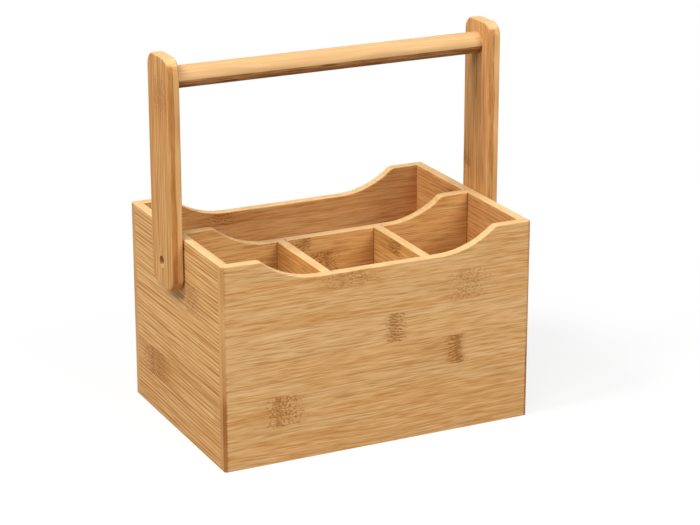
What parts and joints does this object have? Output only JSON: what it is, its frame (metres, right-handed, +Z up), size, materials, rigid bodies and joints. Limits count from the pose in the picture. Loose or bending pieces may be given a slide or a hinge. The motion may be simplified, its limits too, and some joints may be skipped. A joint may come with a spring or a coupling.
{
  "type": "cutlery caddy",
  "caption": "Open wooden cutlery caddy with dipped rims, one long and several short compartments, and a swing handle of two flat uprights and a round bar.",
  "frame": {"origin": "middle of the box's underside, on the surface that it stands on", "axes": "+X along the box and the handle's bar, -Y towards the front with its short compartments, +Z up"},
  "size_m": [0.2702, 0.176, 0.2905],
  "materials": {
    "bamboo_board": "satin lacquered edge-laminated bamboo board",
    "bamboo_handle": "satin lacquered bamboo, sanded smooth with rounded edges",
    "zinc_screw": "bright zinc plated steel",
    "nylon_washer": "natural nylon"
  },
  "bodies": {
    "box": {"front_panel": "bamboo_board", "back_panel": "bamboo_board", "left_side_panel": "bamboo_board", "right_side_panel": "bamboo_board", "base_panel": "bamboo_board", "centre_divider": "bamboo_board", "left_cross_divider": "bamboo_board", "right_cross_divider": "bamboo_board", "left_pivot_screw": "zinc_screw", "right_pivot_screw": "zinc_screw", "left_spacer_washer": "nylon_washer", "right_spacer_washer": "nylon_washer"},
    "handle": {"left_handle_upright": "bamboo_handle", "right_handle_upright": "bamboo_handle", "handle_bar": "bamboo_handle"}
  },
  "joints": [
    {"name": "handle_swing", "type": "hinge", "parent": "box", "child": "handle", "pos_m": [0, 0, 0.1355], "axis": [1, 0, 0], "range_deg": [-135, 135]}
  ]
}
